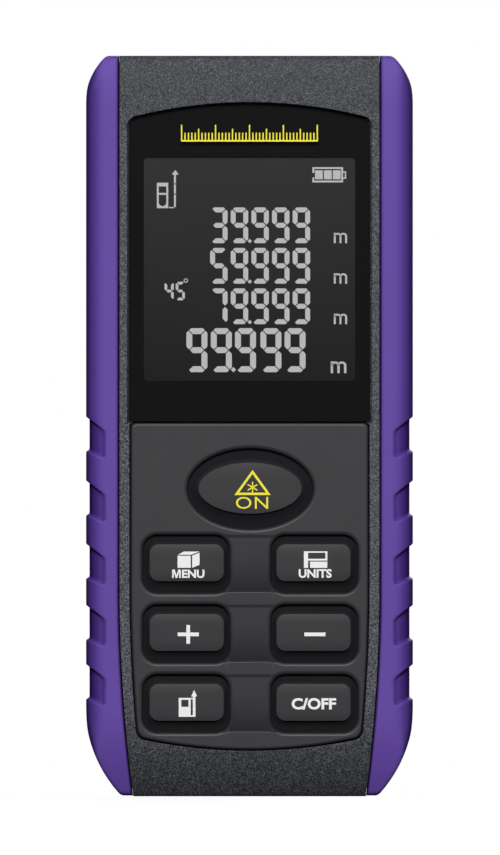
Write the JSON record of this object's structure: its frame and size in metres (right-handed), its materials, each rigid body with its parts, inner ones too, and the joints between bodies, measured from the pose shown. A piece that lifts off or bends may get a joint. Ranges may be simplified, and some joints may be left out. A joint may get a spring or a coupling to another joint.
{
  "type": "laser distance meter",
  "caption": "Pocket laser distance meter with a tall display, an oval measure key over a rubber keypad, and ribbed soft grips down both sides.",
  "frame": {"origin": "centre of the flat base end, which is the end the distance is measured from", "axes": "+Z along the laser beam from the base end to the optics end; -Y out of the front with the display and keypad; +X to the right when facing the front"},
  "size_m": [0.05, 0.0254, 0.1125],
  "materials": {
    "front_casing": "fine spark texture, near black",
    "rear_casing": "fine spark texture, near black",
    "grip": "soft-touch violet overmould",
    "seal": "soft black cord",
    "window_pane": "polished clear pane",
    "window_ink": "black screen print",
    "tape": "black adhesive foam tape",
    "lcd_glass": "dark negative display glass",
    "backlight": "white light guide",
    "flex_film": "amber film",
    "keypad_rubber": "satin silicone rubber",
    "key_rubber": "satin silicone rubber with printed legend",
    "contact_gold": "gold plated",
    "board_laminate": "green solder mask",
    "chip_resin": "black moulding resin",
    "buzzer_case": "black",
    "bracket_plastic": "black filled plastic",
    "bezel_plastic": "black gloss",
    "lens_glass": "coated lens",
    "sensor_can": "tinned shield can",
    "barrel_brass": "turned",
    "diode_metal": "plated can",
    "cell_jacket": "printed film jacket, plain",
    "spring_steel": "nickel plated",
    "contact_steel": "nickel plated",
    "cover_plastic": "fine spark texture, near black",
    "foam": "grey foam strip",
    "label_film": "blank matt film",
    "screw_steel": "black zinc"
  },
  "bodies": {
    "meter": {"front_shell": "front_casing", "rear_shell": "rear_casing", "grip_left": "grip", "grip_right": "grip", "case_seal": "seal", "display_window": "window_pane", "window_border": "window_ink", "window_tape": "tape", "lcd_panel": "lcd_glass", "lcd_backlight": "backlight", "lcd_flex": "flex_film", "keypad_mat": "keypad_rubber", "contact_pads": "contact_gold", "main_board": "board_laminate", "board_chips": "chip_resin", "buzzer": "buzzer_case", "optics_bracket": "bracket_plastic", "optics_bezel": "bezel_plastic", "receiver_lens": "lens_glass", "receiver_sensor": "sensor_can", "laser_barrel": "barrel_brass", "collimator_lens": "lens_glass", "laser_diode": "diode_metal", "emitter_window": "lens_glass", "battery_1": "cell_jacket", "battery_2": "cell_jacket", "battery_springs": "spring_steel", "battery_contacts": "contact_steel", "rear_label": "label_film", "case_screws": "screw_steel", "board_screws": "screw_steel", "bracket_screws": "screw_steel"},
    "measure_button": {"key_measure": "key_rubber"},
    "menu_button": {"key_menu": "key_rubber"},
    "units_button": {"key_units": "key_rubber"},
    "plus_button": {"key_plus": "key_rubber"},
    "minus_button": {"key_minus": "key_rubber"},
    "reference_button": {"key_reference": "key_rubber"},
    "clear_button": {"key_clear": "key_rubber"},
    "cover": {"battery_cover": "cover_plastic", "cover_pad": "foam"}
  },
  "joints": [
    {"name": "measure_press", "type": "slide", "parent": "meter", "child": "measure_button", "axis": [0, 1, 0], "range_m": [0, 0.0008], "stiffness_N_per_m": 1500, "springref_m": -0.0002},
    {"name": "menu_press", "type": "slide", "parent": "meter", "child": "menu_button", "axis": [0, 1, 0], "range_m": [0, 0.0008], "stiffness_N_per_m": 1500, "springref_m": -0.0002},
    {"name": "units_press", "type": "slide", "parent": "meter", "child": "units_button", "axis": [0, 1, 0], "range_m": [0, 0.0008], "stiffness_N_per_m": 1500, "springref_m": -0.0002},
    {"name": "plus_press", "type": "slide", "parent": "meter", "child": "plus_button", "axis": [0, 1, 0], "range_m": [0, 0.0008], "stiffness_N_per_m": 1500, "springref_m": -0.0002},
    {"name": "minus_press", "type": "slide", "parent": "meter", "child": "minus_button", "axis": [0, 1, 0], "range_m": [0, 0.0008], "stiffness_N_per_m": 1500, "springref_m": -0.0002},
    {"name": "reference_press", "type": "slide", "parent": "meter", "child": "reference_button", "axis": [0, 1, 0], "range_m": [0, 0.0008], "stiffness_N_per_m": 1500, "springref_m": -0.0002},
    {"name": "clear_press", "type": "slide", "parent": "meter", "child": "clear_button", "axis": [0, 1, 0], "range_m": [0, 0.0008], "stiffness_N_per_m": 1500, "springref_m": -0.0002},
    {"name": "cover_swing", "type": "hinge", "parent": "meter", "child": "cover", "pos_m": [0, 0.01275, 0.0075], "axis": [-1, 0, 0], "range_deg": [0, 75]}
  ]
}
